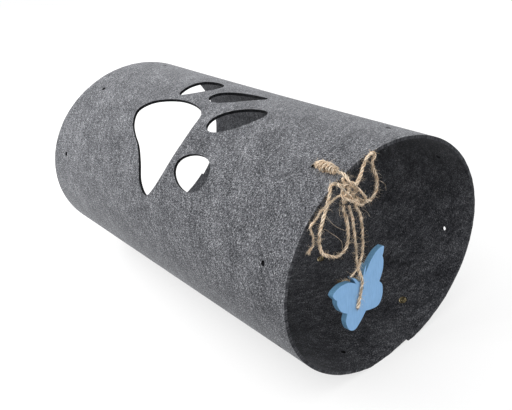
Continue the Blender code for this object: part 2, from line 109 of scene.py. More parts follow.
def add_node(tree, kind, values=None, links=None, stops=(), **settings):
    """A new shader node of a kind such as Math. A colour ramp's stops are (place, hex colour) pairs."""
    made = tree.nodes.new("ShaderNode" + kind)
    for name, value in settings.items():
        setattr(made, name, value)
    for number, (place, colour) in enumerate(stops):
        elements = made.color_ramp.elements
        if number == len(elements):
            elements.new(place)
        elements[number].position = place
        elements[number].color = linear(colour)
    return wire(tree, made, values, links)


def new_material(name):
    """An empty material: its node tree, its shader and its object coordinates."""
    made = bpy.data.materials.new(name)
    made.use_nodes = True
    tree = made.node_tree
    place = add_node(tree, "TexCoord").outputs["Object"]
    return made, tree, tree.nodes["Principled BSDF"], place


print("A noise with one blotch a millimetre has scale", round(1 / MM))

# %% [markdown]
# ## Light
#
# The toy stands in an even white studio. An environment picture could light it, but a plain white
# world does the same and can be set in one number. It does most of the work, so the lamps can stay
# weak: one softbox hangs above, one stands in front, and a third shines into the far end and
# brightens the felt that is seen through the paw print.

# %% Light
LAMPS = {
    # Place, target, size across in metres, watts
    "softbox_top": ((-0.45, -0.15, 1.5), (0, 0, 0.1), 1.2, 3),
    "softbox_front": ((-1.0, -1.5, 1.25), (0, -0.2, 0.12), 0.9, 3),
    "softbox_back": ((-0.55, 1.3, 0.55), (0.08, 0.22, 0.12), 1.0, 26),
}
WHITE = (1, 1, 1, 1)
for name, (place, target, size, energy) in LAMPS.items():
    lamp = bpy.data.lights.new(name, "AREA")
    lamp.shape = "DISK"
    lamp.size = size
    lamp.energy = energy
    softbox = bpy.data.objects.new(name, lamp)
    softbox.location = place
    softbox.rotation_euler = (Vector(target) - Vector(place)).to_track_quat("-Z", "Y").to_euler()
    bpy.context.scene.collection.objects.link(softbox)
world = bpy.data.worlds.new("studio")
bpy.context.scene.world = world
world.use_nodes = True
wire(world.node_tree, world.node_tree.nodes["Background"], {"Color": WHITE, "Strength": 1.0})
bpy.context.scene.view_settings.view_transform = "Standard"

# %% [markdown]
# ## Floor
#
# The floor is a paper sweep. Seen by the camera, in brass or through glass it is nearly pure
# white, as in the photograph, and a part of its own shading is left in it, so it keeps the
# object's soft shadow. For the light that it throws back up it is a mid grey, because the felt's
# underside is dark in the photograph. No one paper does both, so the shader asks what kind of ray
# has met it.

# %% Floor
SWEEP, FLOOR_DROP = 8.0, 0.4 * MM
SHADOW_KEPT = 0.35


def mesh_object(name, mesh, *materials):
    """A new object of a mesh, with its materials."""
    made = bpy.data.objects.new(name, mesh)
    bpy.context.scene.collection.objects.link(made)
    for material in materials:
        mesh.materials.append(material)
    return made


# Matt white paper: to the eye a blank page with a faint shadow on it
paper, tree, shader, _ = new_material("white_paper_sweep")
rays = add_node(tree, "LightPath").outputs
seen = add_node(tree, "Math", links={0: rays["Is Camera Ray"], 1: rays["Is Glossy Ray"]}, operation="MAXIMUM")
seen = add_node(tree, "Math", links={0: seen, 1: rays["Is Transmission Ray"]}, operation="MAXIMUM")
page = add_node(tree, "ValToRGB", links={"Fac": seen}, stops=[(0.0, "8c8c8c"), (1.0, "ffffff")])
wire(tree, shader, {"Roughness": 0.9}, {"Base Color": page})
white = add_node(tree, "Emission", {"Color": WHITE, "Strength": 1.0})
share = add_node(tree, "MapRange", {"To Min": 0.0, "To Max": 1 - SHADOW_KEPT}, {"Value": seen})
mixed = add_node(tree, "MixShader", links={0: share, 1: shader, 2: white})
wire(tree, tree.nodes["Material Output"], links={"Surface": mixed})
floor_mesh = bpy.data.meshes.new("floor")
corners = [(-SWEEP, -SWEEP, 0), (SWEEP, -SWEEP, 0), (SWEEP, SWEEP, 0), (-SWEEP, SWEEP, 0)]
floor_mesh.from_pydata(corners, [], [(0, 1, 2, 3)])
floor = mesh_object("floor", floor_mesh, paper)
floor.location.z = -FLOOR_DROP
print("Floor:", 2 * SWEEP, "m across")

# %% [markdown]
# ## How the sheet is rolled
#
# The real tunnel is a flat sheet, about 934 by 500 mm, that was rolled up and snapped shut. A
# cloth simulation could roll it, but a formula puts both rims where the photograph has them. A
# place on the flat sheet is (arc, along, depth): the way round from the top, the way back from
# the mouth, and the way in from the outer face. The section is a slightly squashed circle that
# the floor presses flat, and the end that lies inside the lap drops to the floor beside it.

# %% How the sheet is rolled
WIDTH, HEIGHT, LENGTH = 0.2871, 0.2537, 0.500
FELT, LAYER_GAP = 0.0035, 0.0004
LAP, EDGE_FROM_BOTTOM, DROP_RUN = 0.084, 0.025, 0.037
PRESSED_FLAT, PRESS_EASE, TOP_SAG = 0.0034, 0.0008, 0.0015
AXIS_HEIGHT = HEIGHT / 2 - PRESSED_FLAT
ANGLES = np.linspace(-math.pi, math.pi, 4001)
ROUND = np.stack([WIDTH / 2 * np.sin(ANGLES), HEIGHT / 2 * np.cos(ANGLES)], axis=1)
RUNS = np.concatenate([[0], np.cumsum(np.linalg.norm(np.diff(ROUND, axis=0), axis=1))])
PERIMETER = float(RUNS[-1])
OUTER_EDGE = PERIMETER / 2 - EDGE_FROM_BOTTOM
INNER_EDGE = OUTER_EDGE - LAP - PERIMETER


def section(arc):
    """Places (x, z) on the outer face, and how near the top they are, for an array of arcs."""
    wrapped = (arc + PERIMETER / 2) % PERIMETER - PERIMETER / 2
    angle = np.interp(wrapped, RUNS - PERIMETER / 2, ANGLES)
    above = HEIGHT / 2 * (1 + np.cos(angle)) - PRESSED_FLAT
    pressed = np.where(above > 0, above * (1 - np.exp(-np.maximum(above, 0) / PRESS_EASE)), 0)
    return np.stack([WIDTH / 2 * np.sin(angle), pressed], axis=-1), np.maximum(np.cos(angle), 0)


def rolled(arc, along, depth):
    """Places in the tunnel for arrays of places on the flat sheet."""
    arc, along, depth = np.broadcast_arrays(*[np.asarray(v, float) for v in (arc, along, depth)])
    face, top = section(arc)
    run = section(arc + 0.1 * FELT)[0] - section(arc - 0.1 * FELT)[0]
    outward = np.stack([-run[..., 1], run[..., 0]], axis=-1)
    outward /= np.linalg.norm(outward, axis=-1, keepdims=True)
    share = np.clip((arc - OUTER_EDGE + PERIMETER) / DROP_RUN, 0, 1)
    tuck = (FELT + LAYER_GAP) * (1 - share * share * (3 - 2 * share))
    place = face - outward * (tuck + depth)[..., None]
    sag = TOP_SAG * top * np.sin(math.pi * along / LENGTH)
    return np.stack([place[..., 0], along - LENGTH / 2, place[..., 1] - sag], axis=-1)


sizes = [round(1000 * size) for size in (OUTER_EDGE - INNER_EDGE, LENGTH, PERIMETER)]
print("Sheet's width, length and way round in mm:", sizes)

# %% [markdown]
# ## What is cut from the sheet
#
# The maker cuts the print, the holes and the studs' seats while the sheet is flat. The print is a
# big pad and four egg-shaped toes, given as shares of its size, so it can be scaled as one. The
# holes lie in a row along each end. The pull of the twine has drawn its own hole long.

# %% What is cut from the sheet
HOLE_RADIUS, HOLE_INSET, HOLE_SIDES = 0.0028, 0.035, 20
TWINE_HOLE_ARC, HOLE_PITCH_LEFT, HOLE_PITCH_RIGHT = -0.0587, 0.1073, 0.1041
HOLE_ARCS = [TWINE_HOLE_ARC + k * (HOLE_PITCH_LEFT if k < 0 else HOLE_PITCH_RIGHT) for k in range(-3, 4)]
HOLES = [(arc, inset) for inset in (HOLE_INSET, LENGTH - HOLE_INSET) for arc in HOLE_ARCS]
PULLED_LONG = 0.0064
STUD_COUNT, STUD_INSET, STUD_ARC = 4, 0.039, OUTER_EDGE - LAP / 2
STUD_INSETS = [STUD_INSET + k * (LENGTH - 2 * STUD_INSET) / (STUD_COUNT - 1) for k in range(STUD_COUNT)]
STUD_SEAT, SEAT_RADIUS, SHANK_RADIUS, SHANK_SIDES = 0.0019, 0.0058, 0.0022, 12
PAW_SIZE, PAW_ARC, PAW_INSET, TOE_SIDES = 0.200, -0.063, 0.256, 56
PAD_SHARES = [
    (0.375, 0.94), (0.465, 1.0), (0.555, 0.96), (0.62, 0.86), (0.66, 0.72), (0.65, 0.56),
    (0.595, 0.45), (0.495, 0.405), (0.355, 0.375), (0.19, 0.38), (0.065, 0.42), (0.0, 0.485),
    (0.055, 0.575), (0.16, 0.65), (0.25, 0.745), (0.31, 0.85),
]
TOE_SHARES = [
    # Across, along, length and width, then how much fuller the end is that points this way
    (0.846, 0.798, 0.301, 0.203, 0.45, -10), (0.862, 0.426, 0.380, 0.173, 0.40, 121),
    (0.654, 0.180, 0.365, 0.213, 0.11, 135), (0.240, 0.158, 0.314, 0.218, 0.12, 265),
]
print("Cut-outs:", 1 + len(TOE_SHARES) + len(HOLES), "and", STUD_COUNT, "studs' seats in each layer")

# %% [markdown]
# ## Outlines on the flat sheet
#
# A die for felt is a steel strip bent to an outline, and here an outline is a list of points. A
# smooth line through a few chosen points gives the pad, and formulas give the eggs and circles.


# %% Outlines on the flat sheet
def through(points, closed=False, steps=8):
    """A smooth line through places, as an array."""
    points = np.asarray(points, float)
    if closed:
        knots = np.vstack([points[-1:], points, points[:2]])
    else:
        knots = np.vstack([2 * points[0] - points[1], points, 2 * points[-1] - points[-2]])
    t = (np.arange(steps) / steps)[:, None]
    line = []
    for a, b, c, d in zip(knots, knots[1:], knots[2:], knots[3:]):
        line.append((2 * b + (c - a) * t + (2 * a - 5 * b + 4 * c - d) * t ** 2
                     + (3 * b - a - 3 * c + d) * t ** 3) / 2)
    if not closed:
        line.append(points[-1:])
    return np.vstack(line)


def round_outline(arc, along, radius, sides=HOLE_SIDES):
    turns = np.arange(sides) * 2 * math.pi / sides
    return np.stack([arc + radius * np.cos(turns), along + radius * np.sin(turns)], axis=1)


def toe_outline(across, along, length, width, fuller, degrees):
    """An egg, fuller at the end that points this way."""
    angles = np.arange(TOE_SIDES) * 2 * math.pi / TOE_SIDES
    u = PAW_SIZE * length / 2 * np.cos(angles)
    v = PAW_SIZE * width / 2 * np.sin(angles) * (1 + fuller * np.cos(angles))
    way = math.radians(degrees)
    x = PAW_ARC + (across - 0.5) * PAW_SIZE + u * math.cos(way) - v * math.sin(way)
    y = PAW_INSET + (along - 0.5) * PAW_SIZE + u * math.sin(way) + v * math.cos(way)
    return np.stack([x, y], axis=1)


def pad_outline():
    shares = through(PAD_SHARES, closed=True, steps=5)
    return (shares - 0.5) * PAW_SIZE + (PAW_ARC, PAW_INSET)


def hole_outline(arc, inset):
    """A punched hole, drawn long away from the mouth where the twine pulls on it."""
    outline = round_outline(arc, inset, HOLE_RADIUS)
    if arc == TWINE_HOLE_ARC and inset == HOLE_INSET:
        back = outline[:, 1] > inset
        outline[back, 1] = inset + (outline[back, 1] - inset) * PULLED_LONG / HOLE_RADIUS
    return outline


print("Points on the pad's outline:", len(pad_outline()))

# %% [markdown]
# ## The blank
#
# A mesh bends only at its edges, and a plain slab has none across its faces. So the blank is
# scored every few millimetres the way that it bends, and more widely along it. A grid could be
# thickened instead, but a slab with planes drawn through it stays one closed solid, which the
# cutting needs.

# %% The blank
BEND_STEP, ROW_STEP = 0.0036, 0.0125
CUTTER_PAST = 2 * MM


def prism(worker, outline, low=-FELT - CUTTER_PAST, high=CUTTER_PAST):
    """A straight-sided solid on a flat outline, from one height to another."""
    base = worker.faces.new([worker.verts.new((x, y, low)) for x, y in outline])
    grown = bmesh.ops.extrude_face_region(worker, geom=[base])
    raised = [item for item in grown["geom"] if isinstance(item, bmesh.types.BMVert)]
    bmesh.ops.translate(worker, verts=raised, vec=(0, 0, high - low))


def to_mesh(name, worker):
    bmesh.ops.recalc_face_normals(worker, faces=worker.faces[:])
    mesh = bpy.data.meshes.new(name)
    worker.to_mesh(mesh)
    worker.free()
    return mesh


def scored_blank():
    """The blank, with edges across it where it can bend."""
    blank = bmesh.new()
    corners = [(INNER_EDGE, 0), (OUTER_EDGE, 0), (OUTER_EDGE, LENGTH), (INNER_EDGE, LENGTH)]
    prism(blank, corners, -FELT, 0)
    bends = int((OUTER_EDGE - INNER_EDGE) / BEND_STEP)
    rows = int(LENGTH / ROW_STEP)
    scores = [((OUTER_EDGE - k * BEND_STEP, 0, 0), (1, 0, 0)) for k in range(1, bends + 1)]
    scores += [((0, k * ROW_STEP, 0), (0, 1, 0)) for k in range(1, rows + 1)]
    for place, way in scores:
        parts = blank.verts[:] + blank.edges[:] + blank.faces[:]
        bmesh.ops.bisect_plane(blank, geom=parts, plane_co=place, plane_no=way)
    return to_mesh("blank", blank)


blank_mesh = scored_blank()
print("Blank:", len(blank_mesh.vertices), "points")

# %% [markdown]
# ## The cutters and the cut
#
# The outlines are pushed through the blank as straight-sided solids, and a Boolean takes them
# away. Cutting while it is flat gives clean walls that stand square to the felt, as a die cuts
# them, and keeps the print's shape true when it is rolled. A stud's seat goes about halfway into
# the felt, from the face that meets the other layer in the lap, and its shank goes right through.


# %% The cutters and the cut
def cutter():
    """Everything that is pushed through the blank, as one mesh of separate solids."""
    tool = bmesh.new()
    prism(tool, pad_outline())
    for shares in TOE_SHARES:
        prism(tool, toe_outline(*shares))
    for arc, inset in HOLES:
        prism(tool, hole_outline(arc, inset))
    for inset in STUD_INSETS:
        for arc, low, high in (
            (STUD_ARC, -FELT - CUTTER_PAST, STUD_SEAT - FELT),
            (STUD_ARC - PERIMETER, -STUD_SEAT, CUTTER_PAST),
        ):
            prism(tool, round_outline(arc, inset, SEAT_RADIUS), low, high)
            prism(tool, round_outline(arc, inset, SHANK_RADIUS, SHANK_SIDES))
    return to_mesh("cutter", tool)


def flat_sheet():
    """The scored blank less everything that is cut from it."""
    body = mesh_object("blank", blank_mesh)
    tool = mesh_object("cutter", cutter())
    cut = body.modifiers.new("cut", "BOOLEAN")
    cut.operation = "DIFFERENCE"
    cut.solver = "EXACT"
    cut.use_self = True
    cut.object = tool
    depsgraph = bpy.context.evaluated_depsgraph_get()
    mesh = bpy.data.meshes.new_from_object(body.evaluated_get(depsgraph))
    bpy.data.objects.remove(body)
    bpy.data.objects.remove(tool)
    mesh.materials.clear()
    return mesh


flat_mesh = flat_sheet()
print("Flat sheet:", len(flat_mesh.vertices), "points")

# %% [markdown]
# ## The rolled sheet
#
# Each point of the flat sheet goes to its place in the tunnel. Cut felt has no crisp edge, so the
# two rims wander by a third of a millimetre first. Each face remembers what it was on the flat
# sheet, so that outside, inside, edges and the walls of the holes can have their own finish. Each
# corner keeps its flat place as a UV, and the felt's pattern is laid out on that.

# %% The rolled sheet
OUTSIDE, INSIDE, EDGE, WALL = range(4)
RIM_WANDER = 0.3 * MM
ON_THE_EDGE = 0.1 * MM


def wander(places, seed):
    """A slow random value of about -1 to 1 at each place, from seven waves of 12 to 50 mm."""
    waves = np.random.default_rng(seed)
    ways = waves.normal(size=(7, places.shape[1])) * 2 * math.pi / waves.uniform(0.012, 0.05, (7, 1))
    return np.sin(places @ ways.T + waves.uniform(0, 6.28, 7)).mean(axis=1) * 1.6


def felt_sheet():
    """The rolled sheet, whose faces carry their kind as their material's number."""
    worker = bmesh.new()
    worker.from_mesh(flat_mesh)
    bmesh.ops.triangulate(worker, faces=worker.faces[:])
    worker.normal_update()
    kinds = []
    for face in worker.faces:
        up = face.normal.z
        x, y, _ = face.calc_center_median()
        rim = min(x - INNER_EDGE, OUTER_EDGE - x, y, LENGTH - y) < ON_THE_EDGE
        kinds.append(OUTSIDE if up > 0.7 else INSIDE if up < -0.7 else EDGE if rim else WALL)
    flat = np.array([tuple(v.co) for v in worker.verts])
    edge = np.minimum(flat[:, 1], LENGTH - flat[:, 1]) < ON_THE_EDGE
    flat[edge, 1] += RIM_WANDER * wander(flat[edge][:, :1], 3)
    for vert, place in zip(worker.verts, rolled(flat[:, 0], flat[:, 1], -flat[:, 2])):
        vert.co = place
    mesh = bpy.data.meshes.new("felt")
    worker.to_mesh(mesh)
    worker.free()
    mesh.polygons.foreach_set("material_index", kinds)
    corners = np.empty(len(mesh.loops), int)
    mesh.loops.foreach_get("vertex_index", corners)
    mesh.uv_layers.new(name="flat").data.foreach_set("uv", flat[corners, :2].ravel())
    mesh.shade_smooth()
    mesh.set_sharp_from_angle(angle=math.radians(50))
    return mesh


felt_mesh = felt_sheet()
felt = mesh_object("felt", felt_mesh)
print("Felt sheet:", len(felt_mesh.vertices), "points")

# %% [markdown]
# ## Felt
#
# Needled polyester felt is a mat of short fibres from white to black, which is what makes it
# marled, like salt and pepper. They lie in all directions, so streaks of noise that cross one
# another give it, with specks between them and faint clouds over them. Real fibres are a few
# hundredths of a millimetre wide, too fine for the render, so the streaks are drawn one
# millimetre wide and two and a half long. Felt is fully matt, and its stray fibres catch light at
# grazing angles, which is why its outline looks pale: sheen does that.

# %% Felt
FELT_STOPS = (0.42, 0.465, 0.505, 0.545, 0.60)
FELT_LAYERS = [
    # Length and width, degrees from the way round, shift, and how much finer detail it has
    (2.4 * MM, 0.9 * MM, 12, 0, 2.0), (2.6 * MM, 1.0 * MM, -48, 1, 2.0), (1.1 * MM, 1.0 * MM, 0, 4, 1.0),
    (9 * MM, 5 * MM, 25, 2, 3.0), (40 * MM, 30 * MM, 30, 3, 3.0),
]


def weighed(tree, parts):
    """The sum of (value, weight) parts."""
    total = None
    for value, weight in parts:
        links = {0: value} if total is None else {0: value, 2: total}
        total = add_node(tree, "Math", {1: weight, 2: 0.0}, links, operation="MULTIPLY_ADD")
    return total


def felt_material(name, shades, weights, sheen, shift):
    """Marled felt, with its shades from the darkest fibres to the palest."""
    made, tree, shader, _ = new_material(name)
    flat = add_node(tree, "UVMap", uv_map="flat")
    layers = []
    for length, width, degrees, further, detail in FELT_LAYERS:
        start, turned = shift + further, (0, 0, math.radians(degrees))
        values = {"Location": (start, start, 0), "Rotation": turned, "Scale": (length, width, 1)}
        spot = add_node(tree, "Mapping", values, {"Vector": flat}, vector_type="TEXTURE")
        values = {"Scale": 1.0, "Detail": detail, "Roughness": 0.6}
        layers.append(add_node(tree, "TexNoise", values, {"Vector": spot}))
    marl = weighed(tree, zip(layers, weights))
    stops = zip(FELT_STOPS, shades.split())
    colour = add_node(tree, "ValToRGB", links={"Fac": marl}, stops=stops)
    _, crossing, _, broad, _ = layers
    soft = add_node(tree, "Bump", {"Strength": 0.5, "Distance": 0.5 * MM}, {"Height": broad})
    relief = add_node(
        tree, "Bump", {"Strength": 0.7, "Distance": 0.35 * MM}, {"Height": crossing, "Normal": soft}
    )
    wire(tree, shader, {
        "Roughness": 0.95, "Specular IOR Level": 0.15, "Sheen Weight": sheen, "Sheen Roughness": 0.4,
        "Sheen Tint": linear("e8eaee"),
    }, {"Base Color": colour, "Normal": relief})
    return made


print("Layers of noise in the felt:", len(FELT_LAYERS))

# %% [markdown]
# ## Four felt finishes
#
# The sheet is light on one face and dark on the other, as felt is that is needled from two mats.
# The slit edge shows the fibres end on and looks different again. The walls that the die cut are painted
# nearly black: painted shade for the dark inside the holes.
# All four are one recipe, each with its own shades, and the sheet's faces already say which of
# the four they are.

# %% Four felt finishes
# Light grey marl: salt and pepper that reads as a mid grey from a step away
felt_outside = felt_material(
    "polyester_felt_light_grey_marl", "101114 35363a 57585c 797a7e b8b9bd",
    (0.29, 0.27, 0.22, 0.13, 0.09), 0.25, 0,
)
# Charcoal marl: nearly black, with a few grey fibres that show where light falls in
felt_inside = felt_material(
    "polyester_felt_charcoal_marl", "0f1013 25262a 393a3e 535458 848589",
    (0.27, 0.25, 0.19, 0.16, 0.13), 0.08, 5,
)
# The slit edge: fibres end on, a soft dark line that shows how thick the felt is
felt_cut = felt_material(
    "polyester_felt_cut_edge", "1c1d20 313236 414246 55565a 7a7b7f",
    (0.27, 0.25, 0.20, 0.17, 0.11), 0.10, 9,
)
# The hole walls: painted shade, nearly black for the shade inside each hole, which draws a crisp line round
# it
felt_wall_painted_shade = felt_material(
    "polyester_felt_hole_wall_painted_shade", "08080a 0f1012 17181b 212225 313236",
    (0.27, 0.25, 0.20, 0.17, 0.11), 0.0, 9,
)
for material in (felt_outside, felt_inside, felt_cut, felt_wall_painted_shade):
    felt_mesh.materials.append(material)
print("Felt finishes:", [m.name for m in felt_mesh.materials])

# %% [markdown]
# ## Colours of the stray fibres
#
# A stray fibre is the same polyester as the mat it stands off, but it is seen alone, so each one
# shows its own grey. A material for each would be far too many. Blotches of about three
# millimetres do it, as every fibre is much shorter than that.


# %% Colours of the stray fibres
def fibre_material(name, stops):
    """Loose polyester fibres, each with its own grey."""
    made, tree, shader, place = new_material(name)
    values = {"Scale": 0.3 / MM, "Detail": 3, "Roughness": 0.6}
    grey = add_node(tree, "TexNoise", values, {"Vector": place})
    colour = add_node(tree, "ValToRGB", links={"Fac": grey}, stops=stops)
    wire(tree, shader, {"Roughness": 0.7}, {"Base Color": colour})
    return made


# Spun polyester, pale: a light fringe that blurs the tunnel's outline
fibre_grey = fibre_material(
    "polyester_fibre_pale_grey", [(0.35, "6a6b70"), (0.5, "94959a"), (0.65, "c4c5c9")]
)
# Spun polyester, dark: a faint bloom on the charcoal face and on the cut edge
fibre_dark = fibre_material(
    "polyester_fibre_charcoal", [(0.35, "34353a"), (0.5, "505156"), (0.65, "7a7b80")]
)
print("Fibre colours:", fibre_grey.name, "and", fibre_dark.name)

# %% [markdown]
# ## A mesh of many hairs
#
# Felt and jute both need thousands of loose hairs. Blender has hair curves for that, but these are
# wanted as plain meshes that can be exported, so one function makes bent three-sided hairs from
# arrays of roots and ways. Numpy places them all at once, ring by ring.

# %% A mesh of many hairs
# Thirds of a turn
HAIR_TURNS = (0, 2.094, 4.189)
HAIR_SIDES = len(HAIR_TURNS)


def hair_mesh(name, roots, ways, lengths, thick, curl, segments, seed):
    """Bent three-sided hairs from root places, along ways, as one mesh."""
    chance = np.random.default_rng(seed)
    count = len(roots)
    side = np.cross(ways, chance.normal(size=(count, 3)))
    side /= np.linalg.norm(side, axis=1, keepdims=True)
    other = np.cross(ways, side)
    bend = chance.uniform(-curl, curl, count)[:, None]
    rings = []
    for k in range(segments + 1):
        share = k / segments
        centre = roots + ways * lengths[:, None] * share * (1 - 0.3 * np.abs(bend) * share)
        centre = centre + side * (lengths[:, None] * bend * share ** 2)
        radius = (thick * (1 - 0.6 * share))[:, None]
        for turn in HAIR_TURNS:
            rings.append(centre + radius * (side * math.cos(turn) + other * math.sin(turn)))
    points = np.stack(rings, axis=1).reshape(-1, 3)
    pattern = []
    for k in range(segments):
        for c in range(HAIR_SIDES):
            d = (c + 1) % HAIR_SIDES
            low, high = HAIR_SIDES * k, HAIR_SIDES * (k + 1)
            pattern.append((low + c, low + d, high + d, high + c))
    first = HAIR_SIDES * (segments + 1) * np.arange(count)
    faces = (np.array(pattern)[None] + first[:, None, None]).reshape(-1, 4)
    mesh = bpy.data.meshes.new(name)
    mesh.from_pydata(points, [], faces.tolist())
    mesh.shade_smooth()
    return mesh


print("Sides of a hair:", HAIR_SIDES)

# %% [markdown]
# ## Stray fibres of the felt
#
# A few fibres stand off any felt, most of all at its cut edges, and they soften its outline. Each
# is three hundredths of a millimetre thick and is set on a random place of the sheet's triangles,
# where large triangles are picked more often, so the fibres are spread evenly.

# %% Stray fibres of the felt
FIBRE_RADIUS, FIBRE_CURL, FIBRE_SEGMENTS = 0.016 * MM, 0.9, 3


def on_faces(mesh, count, kind, seed):
    """Random places on a mesh's triangles of this kind, with their outward ways."""
    chance = np.random.default_rng(seed)
    mesh.calc_loop_triangles()
    corners = np.array([tuple(v.co) for v in mesh.vertices])
    tris = np.array([tuple(t.vertices) for t in mesh.loop_triangles if t.material_index == kind])
    a, b, c = (corners[tris[:, k]] for k in range(3))
    normal = np.cross(b - a, c - a)
    area = np.linalg.norm(normal, axis=1)
    pick = chance.choice(len(tris), count, p=area / area.sum())
    u, v = chance.uniform(size=(2, count, 1))
    over = (u + v) > 1
    u, v = np.where(over, 1 - u, u), np.where(over, 1 - v, v)
    place = a[pick] + (b - a)[pick] * u + (c - a)[pick] * v
    return place, (normal / area[:, None])[pick]


def felt_fuzz(name, kind, count, longest, material, seed):
    """Stray fibres on one kind of the sheet's faces."""
    chance = np.random.default_rng(seed)
    place, out = on_faces(felt_mesh, count, kind, seed)
    way = out * chance.uniform(0.15, 1.0, (count, 1)) + chance.normal(size=(count, 3)) * 0.55
    way /= np.linalg.norm(way, axis=1, keepdims=True)
    lengths = chance.uniform(0.3, 1.0, count) ** 2 * longest
    radii = np.full(count, FIBRE_RADIUS)
    mesh = hair_mesh(name, place, way, lengths, radii, FIBRE_CURL, FIBRE_SEGMENTS, seed)
    return mesh_object(name, mesh, material)


fuzz = [
    felt_fuzz("felt_fuzz_outside", OUTSIDE, 30000, 1.4 * MM, fibre_grey, 11),
    felt_fuzz("felt_fuzz_inside", INSIDE, 12000, 1.4 * MM, fibre_dark, 12),
    felt_fuzz("felt_fuzz_cut", EDGE, 9000, 1.6 * MM, fibre_dark, 13),
]
print("Stray fibres:", sum(len(o.data.polygons) for o in fuzz) // (HAIR_SIDES * FIBRE_SEGMENTS))

# %% [markdown]
# ## The tie over the rim
#
# All the twine is one kind of natural jute string, and the routes are those of the frame, in
# millimetres from the middle of the bow's knot: across, back towards the tunnel, and up. The tie
# goes over the rim, down through the punched hole and back along the inside. A second length is
# bound round it, tight towards the rim and fullest past the middle, with turns that lie unevenly,
# so its line is a helix with a few slow waves in it.

# %% The tie over the rim
KNOT = Vector((-0.0615, -0.2625, AXIS_HEIGHT + 0.1042))
POINT_GAP = 0.5 * MM
RIM_TIE = [
    (0.2, 1.5, 12.2), (0.3, 2.0, 14.3), (0.8, 5.5, 16.3), (1.6, 10.5, 16.4), (2.3, 17.0, 16.4),
    (2.2, 29.0, 17.0), (2.0, 41.0, 17.6), (2.5, 45.7, 16.2), (3.4, 47.4, 13.8), (4.1, 47.5, 12.1),
    (5.4, 47.5, 8.8), (6.4, 46.5, 6.3), (6.8, 43.0, 5.0), (6.7, 34.0, 4.7), (6.5, 22.0, 4.5),
    (6.3, 12.0, 4.2), (6.3, 4.9, 4.0),
]
WRAP_TURNS, POINTS_A_TURN = 6, 60
WRAP_ENDS = [(2.3, 18.5, 16.4), (2.0, 40.5, 17.4)]
WRAP_SHARES, WRAP_RADII = (0, 0.6, 0.85, 1), (2.9, 4.6, 4.2, 2.8)


def even(line):
    """The same line with points at even distances."""
    run = np.concatenate([[0], np.cumsum(np.linalg.norm(np.diff(line, axis=0), axis=1))])
    marks = np.linspace(0, run[-1], max(2, round(run[-1] / POINT_GAP)) + 1)
    return np.stack([np.interp(marks, run, line[:, k]) for k in range(3)], axis=1)


def line_length(line):
    return float(np.linalg.norm(np.diff(line, axis=0), axis=1).sum())


def from_knot(route):
    """A smooth line through a route's points, which are millimetres from the knot."""
    return even(through(np.array(route) * MM + tuple(KNOT)))


def wrap_line():
    """Turns of twine round the tie."""
    share = np.linspace(0, 1, POINTS_A_TURN * WRAP_TURNS)[:, None]
    start, end = np.array(WRAP_ENDS) * MM + tuple(KNOT)
    fullest = np.interp(share, WRAP_SHARES, WRAP_RADII) * MM
    radius = fullest * (1 + 0.07 * np.sin(23 * share) + 0.10 * np.sin(41 * share + 1))
    way = 2 * math.pi * WRAP_TURNS * share + 0.5 * np.sin(17 * share)
    share = share + 0.035 * np.sin(way + 5 * share)
    offset = radius * np.hstack([np.cos(way), 0 * way, np.sin(way)])
    return even(start + (end - start) * share + offset)


LINES = {"rim_tie": from_knot(RIM_TIE), "tie_wraps": wrap_line()}
print("Tie and wraps:", [round(1000 * line_length(line)) for line in LINES.values()], "mm")

# %% [markdown]
# ## The bow
#
# The knot is an overhand knot, which is a trefoil that has been cut open, so a formula gives it.
# Over it lies one more length, which the frame leaves out. The two loops and the thin tail are limp, and
# their points were chosen on the lines that the photograph shows.

# %% The bow
KNOT_RADIUS, KNOT_SWELL, KNOT_POINTS = 0.0073, 0.0030, 240
KNOT_START, KNOT_OPENING = 2 * math.pi / 3 + math.radians(9), math.radians(18)
KNOT_BAND = [
    (-12.8, 2.0, 12.8), (-13.5, -3.5, 12.5), (-11.1, -6.4, 7.7), (-6.9, -6.6, 1.8), (-1.6, -6.4, -4.5),
    (5.0, -4.8, -9.5), (9.5, 1.0, -12.5), (10.0, 5.5, -8.0), (5.0, 6.6, 0.0), (-0.5, 6.6, 9.0),
    (-2.2, 5.0, 15.0), (-3.2, 0.0, 16.3), (-2.9, -5.2, 13.3), (1.4, -6.6, 8.4), (5.4, -6.8, 2.7),
    (10.9, -6.0, -3.9), (15.6, -3.5, -10.5), (15.0, -2.0, -15.8), (8.5, -5.0, -14.5),
    (1.0, -8.6, -9.0), (-6.0, -8.8, -3.5), (-11.5, -6.0, 1.0), (-12.8, -1.0, 4.5),
]
LEFT_LOOP = [
    (-6.4, 2.0, 9.5), (-10.8, 4.5, 12.1), (-14.8, 6.0, 13.8), (-18.2, 6.0, 10.7), (-19.7, 5.0, 5.6),
    (-25.9, 3.5, -3.4), (-33.0, 2.5, -14.3), (-38.3, 2.0, -24.1), (-40.4, 2.0, -37.7),
    (-38.8, 2.0, -44.9), (-34.2, 2.0, -50.4), (-22.9, 2.0, -58.1), (-12.5, 2.0, -58.0),
    (-6.0, 2.0, -51.5), (-3.6, 2.0, -41.0), (-5.2, 2.0, -24.2), (-7.4, 2.0, -13.5), (-7.8, 1.5, -9.7),
]
RIGHT_LOOP = [
    (9.6, 2.5, 3.5), (13.5, 2.7, 5.3), (19.8, 4.5, 10.0), (26.1, 7.5, 14.8), (34.1, 9.0, 20.0),
    (41.5, 9.3, 22.2), (44.0, 9.3, 18.8), (40.0, 9.1, 13.0), (41.4, 8.9, 4.4), (43.8, 8.5, -2.7),
    (43.1, 7.5, -10.7), (37.8, 5.5, -18.3), (29.4, 3.5, -20.1), (19.0, 2.0, -17.2), (13.5, 1.8, -12.6),
    (7.5, 0.8, -7.6),
]
